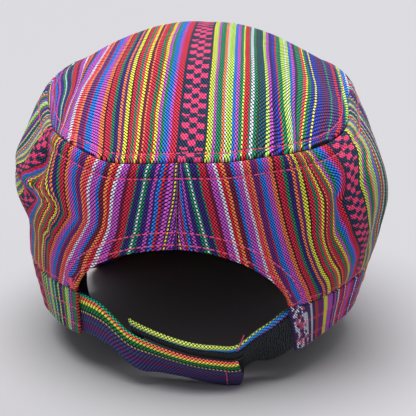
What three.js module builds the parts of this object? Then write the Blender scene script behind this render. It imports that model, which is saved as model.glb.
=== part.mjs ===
// Cadet cap of striped cotton cloth: a domed top on two side panels, a headband, a peak in front,
// and at the back an arched opening closed by two overlapping straps with hook and loop tape.
// Millimetres. +Z is up, +Y is the front with the peak, +X is the wearer's right.
// The cap stands on z = 0, on the rims of its peak and on the lower edge of its outer strap,
// and the origin is there, under the middle of its outline.
// An angle goes round the cap from the middle of the back, positive towards +X.
import * as THREE from "three";

const clothThickness = 2;
const gap = 0.3;
const frontAngle = 180;

// The headband: its outer face is an ellipse that leans outwards towards the top.
const band = {
  halfLength: 96,
  halfWidth: 86.5,
  height: 26,
  lean: 5.5,
  foot: 19,
  backFlatness: 0.035,
};

// Where the headband stops on each side of the opening, at its upper and lower edges.
const openingAngles = { left: { top: 35.5, foot: 37.5 }, right: { top: 34.5, foot: 41 } };

const sweatband = { thickness: 1.2, height: 31, foot: 1, startAngle: 50 };

// The crown, with its heights above the headband's lower edge.
const crown = {
  backSeam: 96,
  frontSeam: 123,
  dome: 36.5,
  domePower: { back: 0.85, front: 1.4 },
  halfLength: 99,
  halfWidth: 76,
  cornerFullness: 0.07,
  archTop: 56.5,
  archPower: 0.67,
};

const peak = {
  halfAngle: 64,
  fan: 0.5,
  length: 50,
  cornerWidth: 3,
  roundness: 0.8,
  tuck: 3,
  thickness: 3,
  middleSlope: 0.27,
  sideSlope: 0.7,
  rimStart: 0.93,
};

// The straps' cloth and the two tapes between them. The inner strap sits higher by innerRise.
const strap = { width: 21, turnPerWidth: 3, thickness: 2, innerRise: 5 };
const tape = { thickness: 1.2, hookMargin: 1.5, loopTopMargin: 3, loopFootMargin: 0.75 };

// How far the top seam lies outside its ellipse, and above its plane, at angles round the cap.
const seamShape = [
  { angle: -180, out: 0, up: 0 },
  { angle: -145, out: 5, up: 0 },
  { angle: -115, out: 11, up: 2 },
  { angle: -90, out: 8, up: 1 },
  { angle: -70, out: 1, up: 0 },
  { angle: -50, out: 0, up: 0 },
  { angle: 0, out: 0, up: 0 },
  { angle: 50, out: 2, up: 0 },
  { angle: 70, out: 2, up: -1 },
  { angle: 90, out: 1, up: 0 },
  { angle: 115, out: 5, up: 1 },
  { angle: 145, out: 5, up: 0 },
  { angle: 180, out: 0, up: 0 },
];

// Where along a wall's height its curve swells: so far above its foot, and so far below its top seam.
const swellPlace = { low: 0.38, high: 0.2 };

// How far the crown's walls swell outwards, low down and near the shoulder, at angles round the cap.
const wallSwell = [
  { angle: -180, low: 6, high: 10 },
  { angle: -135, low: 4, high: 12 },
  { angle: -95, low: 3, high: 19 },
  { angle: -68, low: 8, high: 17 },
  { angle: -50, low: 7, high: 13 },
  { angle: -36, low: 4, high: 8 },
  { angle: 0, low: 2, high: 5 },
  { angle: 36, low: 3, high: 7 },
  { angle: 50, low: 14, high: 18 },
  { angle: 62, low: 18, high: 28 },
  { angle: 78, low: 11, high: 27 },
  { angle: 95, low: 7, high: 20 },
  { angle: 135, low: 6, high: 12 },
  { angle: 180, low: 6, high: 10 },
];

// Dents and puffs of the walls: level is 0 at the headband seam and 1 at the top seam,
// wide is in degrees, tall is a share of the wall's height, out is in millimetres, tilt is degrees per level.
const wallFolds = [
  { name: "left pinch", angle: -80, level: 0.2, wide: 26, tall: 0.15, out: -5, tilt: 20 },
  { name: "left puff", angle: -84, level: 0.48, wide: 26, tall: 0.18, out: 5, tilt: 0 },
  { name: "right fold", angle: 62, level: 0.42, wide: 7, tall: 0.3, out: -2.5, tilt: -25 },
];

// The line that the straps follow: out is beyond the headband's ellipse, top is the height of the
// outer strap's upper edge above the headband's lower edge, lean is how far the lower edge turns in.
const strapLine = [
  { angle: -46, out: 2.5, top: 24.4, lean: 12.5 },
  { angle: -36, out: 2.4, top: 24.2, lean: 12.5 },
  { angle: -28, out: 1.5, top: 21.5, lean: 13 },
  { angle: -22, out: 0.5, top: 15.4, lean: 17 },
  { angle: -17, out: 0.3, top: 10.4, lean: 25 },
  { angle: -11, out: 0, top: 7, lean: 33 },
  { angle: -3, out: 0, top: 3.4, lean: 38 },
  { angle: 4, out: 0, top: 0.6, lean: 38 },
  { angle: 11, out: 0, top: -2, lean: 37 },
  { angle: 19, out: 0.6, top: -3.6, lean: 35 },
  { angle: 25, out: 2, top: 2, lean: 29 },
  { angle: 30, out: 4.5, top: 8.5, lean: 21 },
  { angle: 36, out: 6.4, top: 15.4, lean: 12.5 },
  { angle: 46, out: 6.6, top: 19, lean: 12.5 },
];

const strapAngles = {
  outer: [-45, 19],
  hook: [-12, 20],
  loop: [-17, 34.5],
  inner: [-18, 45],
};

const steps = {
  archHalvings: 24,
  archColumns: 14,
  wallColumns: 28,
  wallRows: 12,
  topRings: 9,
  topColumns: 56,
  bandColumns: 60,
  peakColumns: 28,
  peakRows: 4,
  strapColumns: 26,
  strapRows: 3,
};

const radians = (degrees) => degrees * Math.PI / 180;

// A smooth curve through one column of a table, by angle.
function atAngle(table, column, angle) {
  const last = table.length - 1;
  let row = 0;
  while (row < last - 1 && angle > table[row + 1].angle) row += 1;
  const slope = (k) => {
    const before = table[Math.max(k - 1, 0)];
    const after = table[Math.min(k + 1, last)];
    return (after[column] - before[column]) / (after.angle - before.angle);
  };
  const span = table[row + 1].angle - table[row].angle;
  const s = THREE.MathUtils.clamp((angle - table[row].angle) / span, 0, 1);
  const rise = table[row + 1][column] - table[row][column];
  const bendIn = slope(row) * span - rise;
  const bendOut = slope(row + 1) * span - rise;
  return table[row][column] + s * rise + s * (1 - s) * ((1 - s) * bendIn - s * bendOut);
}

// A point on an ellipse round the cap's middle.
function onRing(angle, halfLength, halfWidth, height) {
  const a = radians(angle);
  return new THREE.Vector3(halfWidth * Math.sin(a), -halfLength * Math.cos(a), band.foot + height);
}

function diagonal(angle) {
  return Math.sin(2 * radians(angle)) ** 2;
}

// The angle at which the headband stops on the side of the given angle.
function openingEnd(angle, level) {
  const end = angle < 0 ? openingAngles.left : openingAngles.right;
  return end.foot + (end.top - end.foot) * level;
}

function outward(angle) {
  const a = radians(angle);
  return new THREE.Vector3(Math.sin(a), -Math.cos(a), 0);
}

// The headband is a little flatter than an ellipse on both sides of the opening.
function bandFullness(angle) {
  return 1 - band.backFlatness * diagonal(angle) * (1 + Math.cos(radians(angle))) / 2;
}

// The headband's face: level is 0 at the lower edge and 1 at the seam, inset goes into the cloth.
function bandPoint(angle, level, inset) {
  const full = bandFullness(angle);
  const out = band.lean * Math.min(level, 1) - inset;
  return onRing(angle, band.halfLength * full + out, band.halfWidth * full + out, band.height * level);
}

function seamHeight(y) {
  const share = (y + crown.halfLength) / (2 * crown.halfLength);
  return crown.backSeam + (crown.frontSeam - crown.backSeam) * share;
}

// The seam between top and walls, and the same line on the inner face of the cloth.
function seamPoint(angle, inset) {
  const fullness = 1 + crown.cornerFullness * diagonal(angle);
  const out = atAngle(seamShape, "out", angle) - inset;
  const point = onRing(angle, crown.halfLength * fullness + out, crown.halfWidth * fullness + out, 0);
  point.z += seamHeight(point.y) + atAngle(seamShape, "up", angle) - inset;
  return point;
}

// The domed top: reach is 0 in the middle and 1 at the seam.
function topPoint(reach, angle, inset) {
  const rim = seamPoint(angle, inset + gap / 2);
  const y = rim.y * reach;
  const rise = atAngle(seamShape, "up", angle) * reach ** 2;
  const towardsFront = (1 - Math.cos(radians(angle))) / 2;
  const power = crown.domePower.back + (crown.domePower.front - crown.domePower.back) * towardsFront;
  const swell = crown.dome * (1 - reach ** 2) ** power;
  return new THREE.Vector3(rim.x * reach, y, band.foot + seamHeight(y) + rise + swell - inset + gap / 2);
}

// The walls' dents and puffs, which die out at both seams.
function foldOut(angle, level) {
  const awayFromSeams = 1 - (2 * level - 1) ** 2;
  return wallFolds.reduce((sum, fold) => {
    const across = (angle - fold.angle - fold.tilt * (level - fold.level)) / fold.wide;
    const along = (level - fold.level) / fold.tall;
    return sum + fold.out * awayFromSeams * Math.exp(-(across ** 2) - along ** 2);
  }, 0);
}

// A side wall, from the headband seam at level 0 to the top seam at level 1.
function wallPoint(angle, level, inset) {
  const foot = bandPoint(angle, 1, inset);
  foot.z += gap;
  const head = seamPoint(angle, inset);
  const tall = head.z - foot.z;
  const out = outward(angle);
  const low = foot.clone().addScaledVector(out, atAngle(wallSwell, "low", angle));
  low.z += swellPlace.low * tall;
  const high = head.clone().addScaledVector(out, atAngle(wallSwell, "high", angle));
  high.z -= swellPlace.high * tall;
  const point = new THREE.CubicBezierCurve3(foot, low, high, head).getPoint(level);
  return point.addScaledVector(out, foldOut(angle, level));
}

// The height of the arch's edge, which meets the headband seam at the ends of the opening.
function archHeight(angle) {
  const share = Math.sin(radians(angle)) / Math.sin(radians(openingEnd(angle, 1)));
  const rise = crown.archTop - band.height;
  return band.height + gap + rise * Math.max(1 - share ** 2, 0) ** crown.archPower;
}

// The level at which a wall starts: 0, or where it reaches the arch.
function lowestLevel(angle, inset) {
  if (Math.abs(angle) >= openingEnd(angle, 1)) return 0;
  const height = band.foot + archHeight(angle);
  let below = 0;
  let above = 1;
  for (let halving = 0; halving < steps.archHalvings; halving += 1) {
    const middle = (below + above) / 2;
    if (wallPoint(angle, middle, inset).z < height) below = middle;
    else above = middle;
  }
  return above;
}

function grid(columns, rows, pointAt) {
  return columns.map((column) => rows.map((row) => pointAt(column, row)));
}

function ramp(from, to, count) {
  return Array.from({ length: count + 1 }, (_, k) => from + (to - from) * k / count);
}

// A closed shell between an outer and an inner grid of points, columns round the cap and rows upwards.
function shell(outer, inner) {
  const positions = [];
  const quad = (a, b, c, d) => positions.push(a, b, c, a, c, d);
  const lastColumn = outer.length - 1;
  const lastRow = outer[0].length - 1;
  for (let i = 0; i < lastColumn; i += 1) {
    for (let j = 0; j < lastRow; j += 1) {
      quad(outer[i][j], outer[i + 1][j], outer[i + 1][j + 1], outer[i][j + 1]);
      quad(inner[i][j], inner[i][j + 1], inner[i + 1][j + 1], inner[i + 1][j]);
    }
    quad(outer[i][0], inner[i][0], inner[i + 1][0], outer[i + 1][0]);
    quad(outer[i][lastRow], outer[i + 1][lastRow], inner[i + 1][lastRow], inner[i][lastRow]);
  }
  for (let j = 0; j < lastRow; j += 1) {
    quad(outer[0][j], outer[0][j + 1], inner[0][j + 1], inner[0][j]);
    const end = lastColumn;
    quad(outer[end][j], inner[end][j], inner[end][j + 1], outer[end][j + 1]);
  }
  return new THREE.BufferGeometry().setFromPoints(positions);
}

// A closed disc between an upper and a lower set of rings, whose first ring is the middle point.
function disc(upper, lower) {
  const positions = [];
  const around = upper[0].length;
  const last = upper.length - 1;
  for (let k = 0; k < around; k += 1) {
    const n = (k + 1) % around;
    positions.push(upper[0][0], upper[1][k], upper[1][n]);
    positions.push(lower[0][0], lower[1][n], lower[1][k]);
    for (let ring = 1; ring < last; ring += 1) {
      positions.push(upper[ring][k], upper[ring + 1][k], upper[ring + 1][n]);
      positions.push(upper[ring][k], upper[ring + 1][n], upper[ring][n]);
      positions.push(lower[ring][k], lower[ring + 1][n], lower[ring + 1][k]);
      positions.push(lower[ring][k], lower[ring][n], lower[ring + 1][n]);
    }
    positions.push(upper[last][k], lower[last][k], lower[last][n]);
    positions.push(upper[last][k], lower[last][n], upper[last][n]);
  }
  return new THREE.BufferGeometry().setFromPoints(positions);
}

function topPanel() {
  const angles = ramp(-frontAngle, frontAngle, steps.topColumns).slice(0, -1);
  const rings = ramp(0, 90, steps.topRings).map((turn) => Math.sin(radians(turn)));
  return disc(
    rings.map((reach) => angles.map((angle) => topPoint(reach, angle, 0))),
    rings.map((reach) => angles.map((angle) => topPoint(reach, angle, clothThickness))),
  );
}

// One side panel, from the seam at the back to the seam in front: side is 1 for the wearer's right.
function sidePanel(side) {
  const archEnd = openingEnd(side, 1);
  const overArch = ramp(0, 90, steps.archColumns).map((turn) => Math.sin(radians(turn)) * archEnd);
  const toFront = ramp(archEnd, frontAngle, steps.wallColumns).slice(1);
  let columns = [...overArch, ...toFront].map((angle) => angle * side);
  if (side < 0) columns = columns.reverse();
  const face = (inset) => grid(columns, ramp(0, 1, steps.wallRows), (angle, share) => {
    const start = lowestLevel(angle, inset);
    const point = wallPoint(angle, start + (1 - start) * share, inset);
    point.x = side * Math.max(Math.abs(point.x), gap / 2);
    return point;
  });
  return shell(face(0), face(clothThickness));
}

function headband() {
  const columns = ramp(0, 1, steps.bandColumns);
  const face = (inset) => grid(columns, [0, 0.5, 1], (share, level) => {
    const from = openingEnd(1, level);
    const to = 360 - openingEnd(-1, level);
    return bandPoint(from + (to - from) * share, level, inset);
  });
  return shell(face(0), face(clothThickness));
}

function sweatbandStrip() {
  const columns = ramp(sweatband.startAngle, 360 - sweatband.startAngle, steps.bandColumns);
  const levels = ramp(sweatband.foot, sweatband.foot + sweatband.height, 2).map((z) => z / band.height);
  const outerInset = clothThickness + gap;
  const face = (inset) => grid(columns, levels, (angle, level) => bandPoint(angle, level, inset));
  return shell(face(outerInset), face(outerInset + sweatband.thickness));
}

// The peak: reach is 0 at the edge tucked under the headband and 1 at the rim.
function peakPoint(turn, reach, depth) {
  const angle = frontAngle + turn * peak.halfAngle;
  const length = peak.cornerWidth + peak.length * Math.max(1 - turn ** 2, 0) ** peak.roundness;
  const point = bandPoint(angle, 0, peak.tuck);
  const forwards = outward(frontAngle + turn * peak.halfAngle * peak.fan);
  point.addScaledVector(forwards, (length + peak.tuck) * reach);
  const slope = peak.middleSlope + peak.sideSlope * turn ** 2;
  const drop = slope * Math.max(length * reach - peak.tuck, 0);
  point.z = Math.max(point.z - gap - drop - depth, peak.thickness - depth);
  return point;
}

function peakShell() {
  const turns = ramp(-90, 90, steps.peakColumns).map((turn) => Math.sin(radians(turn)));
  const reaches = [...ramp(0, peak.rimStart, steps.peakRows), 1];
  const face = (depth) => grid(turns, reaches, (turn, reach) => peakPoint(turn, reach, depth));
  return shell(face(peak.thickness), face(0));
}

// A point of the straps: down is measured from the outer strap's upper edge, depth from its outer face.
// The lower edge is cut off level where it would pass through the surface that the cap stands on.
function strapPoint(edgeAngle, down, depth) {
  const lean = radians(atAngle(strapLine, "lean", edgeAngle));
  const top = atAngle(strapLine, "top", edgeAngle);
  const toSurface = (band.foot + top + depth * Math.sin(lean)) / Math.cos(lean);
  const reach = Math.min(down, toSurface);
  const angle = edgeAngle + strap.turnPerWidth * reach / strap.width;
  const full = bandFullness(angle);
  const beyond = atAngle(strapLine, "out", angle);
  const point = onRing(angle, band.halfLength * full + beyond, band.halfWidth * full + beyond, top);
  point.addScaledVector(outward(angle), -reach * Math.sin(lean) - depth * Math.cos(lean));
  point.z += -reach * Math.cos(lean) + depth * Math.sin(lean);
  return point;
}

function strip([from, to], upperEdge, lowerEdge, depth, thickness) {
  const columns = ramp(from, to, steps.strapColumns);
  const downs = ramp(lowerEdge, upperEdge, steps.strapRows);
  const face = (inset) => grid(columns, downs, (angle, down) => strapPoint(angle, down, inset));
  return shell(face(depth), face(depth + thickness));
}

const hookDepth = strap.thickness + gap;
const loopDepth = hookDepth + tape.thickness + gap;
const innerDepth = loopDepth + tape.thickness + gap;
const hookTop = tape.hookMargin;
const hookFoot = strap.width - tape.hookMargin;
const innerTop = -strap.innerRise;
const innerFoot = strap.width - strap.innerRise;
const loopTop = innerTop + tape.loopTopMargin;
const loopFoot = innerFoot - tape.loopFootMargin;

const stripedCloth = { color: 0x8a4a78, roughness: 0.85, metalness: 0 };
const bandCloth = { color: 0x6d5a8c, roughness: 0.85, metalness: 0 };
const strapCloth = { color: 0x46407a, roughness: 0.85, metalness: 0 };
const blackTape = { color: 0x17181b, roughness: 0.95, metalness: 0 };

const pieces = [
  ["top_panel", topPanel(), stripedCloth],
  ["side_panel_right", sidePanel(1), stripedCloth],
  ["side_panel_left", sidePanel(-1), stripedCloth],
  ["headband", headband(), bandCloth],
  ["sweatband", sweatbandStrip(), blackTape],
  ["peak", peakShell(), stripedCloth],
  ["strap_outer", strip(strapAngles.outer, 0, strap.width, 0, strap.thickness), strapCloth],
  ["hook_tape", strip(strapAngles.hook, hookTop, hookFoot, hookDepth, tape.thickness), blackTape],
  ["loop_tape", strip(strapAngles.loop, loopTop, loopFoot, loopDepth, tape.thickness), blackTape],
  ["strap_inner", strip(strapAngles.inner, innerTop, innerFoot, innerDepth, strap.thickness), strapCloth],
];

const cap = new THREE.Group();
for (const [name, geometry, finish] of pieces) {
  geometry.computeVertexNormals();
  const mesh = new THREE.Mesh(geometry, new THREE.MeshStandardMaterial(finish));
  mesh.name = name;
  cap.add(mesh);
}

const outline = new THREE.Box3().setFromObject(cap);
const middle = outline.getCenter(new THREE.Vector3());
cap.position.set(-middle.x, -middle.y, 0);

export default cap;
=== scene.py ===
import math
from functools import lru_cache
import bpy
import bmesh
from mathutils import Matrix, Vector, noise


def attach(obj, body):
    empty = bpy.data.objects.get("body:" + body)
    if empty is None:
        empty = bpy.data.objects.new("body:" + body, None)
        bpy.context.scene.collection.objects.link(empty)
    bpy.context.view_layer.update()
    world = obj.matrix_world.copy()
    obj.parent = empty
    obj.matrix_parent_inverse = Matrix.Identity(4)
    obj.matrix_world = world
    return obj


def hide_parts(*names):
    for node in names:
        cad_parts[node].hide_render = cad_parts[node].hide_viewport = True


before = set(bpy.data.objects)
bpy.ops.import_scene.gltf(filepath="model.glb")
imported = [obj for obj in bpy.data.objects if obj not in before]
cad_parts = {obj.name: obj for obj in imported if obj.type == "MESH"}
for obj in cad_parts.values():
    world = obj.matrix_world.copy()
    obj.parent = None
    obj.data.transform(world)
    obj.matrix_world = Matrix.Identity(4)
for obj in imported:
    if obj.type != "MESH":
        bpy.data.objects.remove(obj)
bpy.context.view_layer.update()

print("frame loaded")

# Shapes are worked out in the cap's own millimetres, as in the part's source, and set down in metres.
# An angle goes round the cap from the middle of the back, positive to the wearer's right.
rowOffset = Vector((1.76, -23.04, 0))
upright = Vector((0, 0, 1))


def metres(point):
    return (Vector(point) + rowOffset) / 1000


studio = {
    "azimuth": 5.85, "elevation": 14.5, "roll": 0.76, "distance": 552.6, "target": (0, 0, 79),
    "lens": 87.95, "sensor": 36, "shift": (0.0154, -0.0529), "nearest": 0.01,
    "floorSize": 14, "floorColour": (186, 185, 188), "worldColour": (226, 228, 232), "worldStrength": 0.4,
    "lamps": [  # where the light comes from, how wide in degrees and how strong
        ("overhead", (-0.12, -0.1, 1), 50, 3.3),
        ("front", (0.3, 0.8, 0.75), 60, 0.6),
    ],
}


def addCamera():
    azimuth, elevation, turn = (math.radians(studio[key]) for key in ("azimuth", "elevation", "roll"))
    level = math.cos(elevation)
    back = Vector((math.sin(azimuth) * level, -math.cos(azimuth) * level, math.sin(elevation)))
    right = (-back).cross(upright).normalized()
    up = right.cross(-back)
    turnedRight = right * math.cos(turn) + up * math.sin(turn)
    turnedUp = up * math.cos(turn) - right * math.sin(turn)
    place = metres(Vector(studio["target"]) + back * studio["distance"])
    bpy.ops.object.select_all(action="DESELECT")
    bpy.ops.object.camera_add(location=(0, 0, 0))
    camera = bpy.context.object
    camera.name = "photoCamera"
    axes = Matrix((turnedRight, turnedUp, back)).transposed().to_4x4()
    camera.matrix_world = Matrix.Translation(place) @ axes
    camera.data.lens = studio["lens"]
    camera.data.sensor_width = studio["sensor"]
    camera.data.shift_x, camera.data.shift_y = studio["shift"]
    camera.data.clip_start = studio["nearest"]
    bpy.context.scene.camera = camera


def addFloor():
    bpy.ops.mesh.primitive_plane_add(size=studio["floorSize"], location=(0, 0, 0))
    floor = bpy.context.object
    floor.name = "floor"
    dye = Dye("floorPaint", roughness=0.9)
    dye.paint(linear(studio["floorColour"]))
    floor.data.materials.append(dye.material)


def addLight():
    for name, direction, wide, strength in studio["lamps"]:
        bpy.ops.object.light_add(type="SUN", location=Vector(direction))
        lamp = bpy.context.object
        lamp.name = name
        lamp.data.angle = math.radians(wide)
        lamp.data.energy = strength
        lamp.rotation_euler = (-Vector(direction)).to_track_quat("-Z", "Y").to_euler()
    world = bpy.data.worlds.new("softRoom")
    world.use_nodes = True
    background = world.node_tree.nodes["Background"].inputs
    background["Color"].default_value = linear(studio["worldColour"])
    background["Strength"].default_value = studio["worldStrength"]
    bpy.context.scene.world = world
    bpy.context.scene.view_settings.view_transform = "Standard"


dyes = {
    "crimson": (214, 36, 66), "coral": (238, 72, 84), "orange": (250, 132, 72), "violet": (196, 84, 198),
    "blue": (32, 122, 226), "green": (16, 138, 92), "lime": (196, 232, 96), "yellow": (234, 228, 66),
    "white": (220, 220, 236), "black": (28, 18, 28), "indigo": (50, 32, 118), "teal": (20, 78, 92),
    "royal": (34, 54, 182), "maroon": (118, 20, 58), "purple": (112, 38, 122), "red": (216, 32, 46),
    "olive": (56, 66, 38), "pale": (158, 206, 162), "pink": (228, 62, 112), "ground": (26, 52, 80),
    "plum": (66, 45, 106), "navy": (16, 22, 74), "gap": (13, 9, 28), "emerald": (18, 128, 62),
    "mint": (18, 156, 112), "thread": (238, 84, 126), "rose": (206, 84, 118), "brick": (196, 70, 56),
    # The lighter copies of lime, yellow, coral, blue, mint and violet below are painted light for the straps,
    # which face down and would otherwise render darker.
    "grape": (84, 40, 132), "mustard": (176, 168, 74), "brightLime": (232, 255, 118),
    "brightYellow": (255, 244, 84), "brightCoral": (255, 112, 84), "brightBlue": (58, 158, 255),
    "brightMint": (26, 204, 144), "brightViolet": (226, 104, 226), "sweatBlack": (20, 19, 22),
    "hookBlack": (16, 16, 19), "hookGrey": (66, 67, 72), "pileDark": (9, 10, 12), "pileLight": (74, 79, 86),
}


def linear(colour):
    shares = [c / 255 for c in colour]
    return tuple(c / 12.92 if c < 0.04045 else ((c + 0.055) / 1.055) ** 2.4 for c in shares) + (1,)


def both(operation):  # an operator and its reflected form
    return (lambda self, other: self.dye.maths(operation, self, other),
            lambda self, other: self.dye.maths(operation, other, self))


class Signal:  # a socket that can stand in a sum
    def __init__(self, dye, socket):
        self.dye, self.socket = dye, socket

    __add__, __radd__ = both("ADD")
    __sub__, __rsub__ = both("SUBTRACT")
    __mul__, __rmul__ = both("MULTIPLY")
    __truediv__, __rtruediv__ = both("DIVIDE")
    __mod__, __rmod__ = both("FLOORED_MODULO")
    __gt__, __lt__ = both("GREATER_THAN")

    def __abs__(self):
        return self.dye.maths("ABSOLUTE", self)


rampStops = 30  # a colour ramp holds hardly more


class Dye:  # one material
    def __init__(self, name, roughness, sheen=0.0):
        self.material = bpy.data.materials.new(name)
        self.material.use_nodes = True
        self.tree = self.material.node_tree
        self.shader = self.tree.nodes["Principled BSDF"]
        finish = {"Roughness": roughness, "Sheen Weight": sheen, "Sheen Roughness": 0.5,
                  "Specular IOR Level": 0.1}
        for socket, value in finish.items():
            self.shader.inputs[socket].default_value = value

    def node(self, kind, settings, sockets, output=0):
        made = self.tree.nodes.new(kind)
        for key, value in settings.items():
            if key == "stops":
                self.setStops(made.color_ramp, value)
            else:
                setattr(made, key, value)
        for key, value in sockets.items():
            self.feed(made.inputs[key], value)
        return Signal(self, made.outputs[output])

    def setStops(self, ramp, stops):
        ramp.interpolation = "CONSTANT"
        while len(ramp.elements) > 1:
            ramp.elements.remove(ramp.elements[-1])
        ramp.elements[0].position, ramp.elements[0].color = stops[0]
        for position, colour in stops[1:]:
            ramp.elements.new(position).color = colour

    def feed(self, socket, value):  # from another socket, a dye's name or a plain value
        if isinstance(value, Signal):
            self.tree.links.new(value.socket, socket)
        else:
            socket.default_value = linear(dyes[value]) if isinstance(value, str) else value

    def paint(self, colour):
        self.feed(self.shader.inputs["Base Color"], colour)

    def relief(self, height, strength, distance):
        sockets = {"Height": height, "Strength": strength, "Distance": distance}
        self.feed(self.shader.inputs["Normal"], self.node("ShaderNodeBump", {}, sockets))

    def maths(self, operation, *values):
        return self.node("ShaderNodeMath", {"operation": operation}, dict(enumerate(values)))

    def mix(self, share, first, second, way="MIX"):
        settings = {"data_type": "RGBA", "blend_type": way}
        return self.node("ShaderNodeMix", settings, {0: share, 6: first, 7: second}, 2)

    def blend(self, share, first, second):  # two numbers
        return first + (second - first) * share

    def dim(self, colour, light):
        grey = self.node("ShaderNodeCombineColor", {}, {0: light, 1: light, 2: light})
        return self.mix(1.0, colour, grey, "MULTIPLY")

    def smooth(self, value, low, high):
        settings = {"interpolation_type": "SMOOTHSTEP"}
        return self.node("ShaderNodeMapRange", settings, {0: value, 1: low, 2: high})

    def clothPlace(self):
        place = self.node("ShaderNodeUVMap", {"uv_map": "cloth"}, {})
        return [self.node("ShaderNodeSeparateXYZ", {}, {0: place}, axis) for axis in (0, 1)]

    def speckle(self, value):
        return self.node("ShaderNodeTexWhiteNoise", {"noise_dimensions": "1D"}, {"W": value}, "Value")

    def streaks(self, u, v, scaleU, scaleV, height):
        place = self.node("ShaderNodeCombineXYZ", {}, {0: u * scaleU, 1: v * scaleV})
        sockets = {"Vector": place, "Scale": 1.0, "Detail": 2.0}
        return (self.node("ShaderNodeTexNoise", {"noise_dimensions": "2D"}, sockets) - 0.5) * height

    def chart(self, place, stripes, start):  # stripes of constant colour, on as many ramps as they need
        colour, edge = None, start
        for first in range(0, len(stripes), rampStops):
            some = stripes[first:first + rampStops]
            length = sum(width for width, _ in some)
            stops, at = [], 0.0
            for width, name in some:
                stops.append((at / length, linear(dyes[name])))
                at += width
            found = self.node("ShaderNodeValToRGB", {"stops": stops}, {0: (place - edge) / length})
            colour = found if colour is None else self.mix(place > edge, colour, found)
            edge += length
        return colour


# Widths and lengths are in millimetres of cloth, ranges are of a dot's height, from its edge to its crest.
# Streaks have a scale across, a scale along and a height.
# The base and body paint shading across each dot, darker at its edge and lighter towards its crest; the crest
# share is a painted highlight, white mixed in at the crest; gapShade darkens the thread's colour in the gaps
# to painted shade.
weaveSizes = {
    "pitch": 0.7, "repeat": 2.1, "lean": 0.14, "dotWidth": 0.31, "dotLength": 0.37, "roughness": 0.82,
    "cover": (0.02, 0.34), "gapShade": 0.03, "gapDye": 0.85, "waver": (0.05, 0.12, 0.5),
    "tone": 0.8, "threadTone": 0.22, "threadStreaks": (3.0, 0.14, 0.35), "base": 0.95, "body": 0.6,
    "bodyRange": (0.0, 0.9), "crestHighlight": 0.05, "crestHighlightRange": (0.35, 1.0), "relief": 0.5,
    "reliefRange": (-0.5, 1.0), "reliefDepth": 0.00025,
}
# The walls get a darker copy of the cloth, with a lower base: painted shade, since the walls catch less light
# than the top.
shadedSideWeave = dict(weaveSizes, base=0.87)
# The top's dots carry a stronger painted highlight at their crests.
topWeave = dict(weaveSizes, repeat=2.0, crestHighlight=0.08, swing=(29, 33))
strapWeave = dict(weaveSizes, pitch=0.98, repeat=1.9, lean=0.03, dotWidth=0.33, dotLength=0.36,
                  cover=(0.04, 0.38))


def weave(dye, u, v, sizes, lean):  # every other warp thread shows, as dots that lean a little
    pair, repeat = 2 * sizes["pitch"], sizes["repeat"]

    def dots(shift):
        along = (v / repeat + shift) % 1 - 0.5
        across = (u - along * lean * repeat) / pair - shift
        thread = dye.maths("FLOOR", across + 0.5)
        side = (across - thread) / sizes["dotWidth"]
        end = along / sizes["dotLength"]
        return 1 - side * side - end * end, (thread + shift) * pair

    evenHeight, evenPlace = dots(0.0)
    oddHeight, oddPlace = dots(0.5)
    place = dye.blend(oddHeight > evenHeight, evenPlace, oddPlace)
    return place, dye.maths("MAXIMUM", evenHeight, oddHeight)


def stripes(text):  # widths in millimetres and dyes
    return [(float(width), name) for width, name in (stripe.split() for stripe in text.split(", "))]


# The striped cloth on both sides of its figured band, from the band outwards.
crownLeft = stripes(
    "3.0 crimson, 1.0 violet, 2.7 blue, 1.4 green, 1.0 violet, 1.4 yellow, 0.6 red, 1.5 green, "
    "2.1 crimson, 1.2 orange, 1.1 maroon, 1.5 yellow, 1.1 coral, 1.3 green, 2.3 crimson, 1.1 black, "
    "1.6 yellow, 1.2 purple, 1.5 orange, 2.3 indigo, 1.3 green, 3.1 crimson, 0.8 black, 1.7 orange, "
    "2.6 violet, 3.2 blue, 1.0 crimson, 2.2 purple, 1.6 orange, 2.2 coral, 1.3 white, 2.5 violet, "
    "1.5 blue, 2.2 maroon, 1.5 orange, 1.6 red, 1.1 white, 2.8 violet, 1.6 maroon, 2.6 crimson, "
    "1.1 green, 2.5 indigo, 0.8 green, 1.0 white, 0.8 green, 2.6 indigo, 1.2 violet, 1.0 indigo, "
    "1.2 blue, 0.7 red, 0.8 purple, 0.8 violet, 0.8 purple, 0.9 yellow, 1.0 indigo, 0.8 violet, "
    "1.2 indigo, 0.8 violet, 1.7 indigo, 1.8 royal, 1.3 lime, 1.0 white, 2.4 green, 1.2 violet")
crownRight = stripes(
    "1.5 yellow, 1.2 lime, 1.3 violet, 2.8 green, 1.2 orange, 1.2 white, 2.9 lime, 1.1 blue, "
    "1.4 violet, 1.2 green, 1.1 lime, 1.7 red, 1.1 green, 1.1 white, 1.3 green, 1.2 olive, 2.8 teal, "
    "1.2 lime, 1.5 violet, 1.2 indigo, 1.2 royal, 1.2 red, 2.0 green, 1.7 lime, 1.1 white, 1.4 lime, "
    "1.2 blue, 1.2 violet, 1.2 indigo, 0.5 olive, 2.8 green, 1.1 coral, 1.1 yellow, 1.6 green, "
    "0.8 royal, 1.1 yellow, 1.7 royal, 1.6 grape, 0.6 maroon, 1.4 grape, 0.8 mint, 2.2 grape, "
    "1.4 crimson, 1.4 indigo, 1.0 mint, 1.2 lime, 2.0 blue, 1.2 white, 2.6 crimson")

figuredBand = {"width": 13.2, "repeat": 17.4, "rows": 6, "middle": 1.75, "side": 5.1, "fray": 0.3,
               "seed": 7.1, "thinRow": 0.22, "closeness": 0.65}
crownStripes = list(reversed(crownLeft)) + [(figuredBand["width"], "ground")] + crownRight
crownStart = -figuredBand["width"] / 2 - sum(width for width, _ in crownLeft)
# beyond this place the cloth repeats, mirrored
crownTurn = figuredBand["width"] / 2 + sum(width for width, _ in crownRight)


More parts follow.
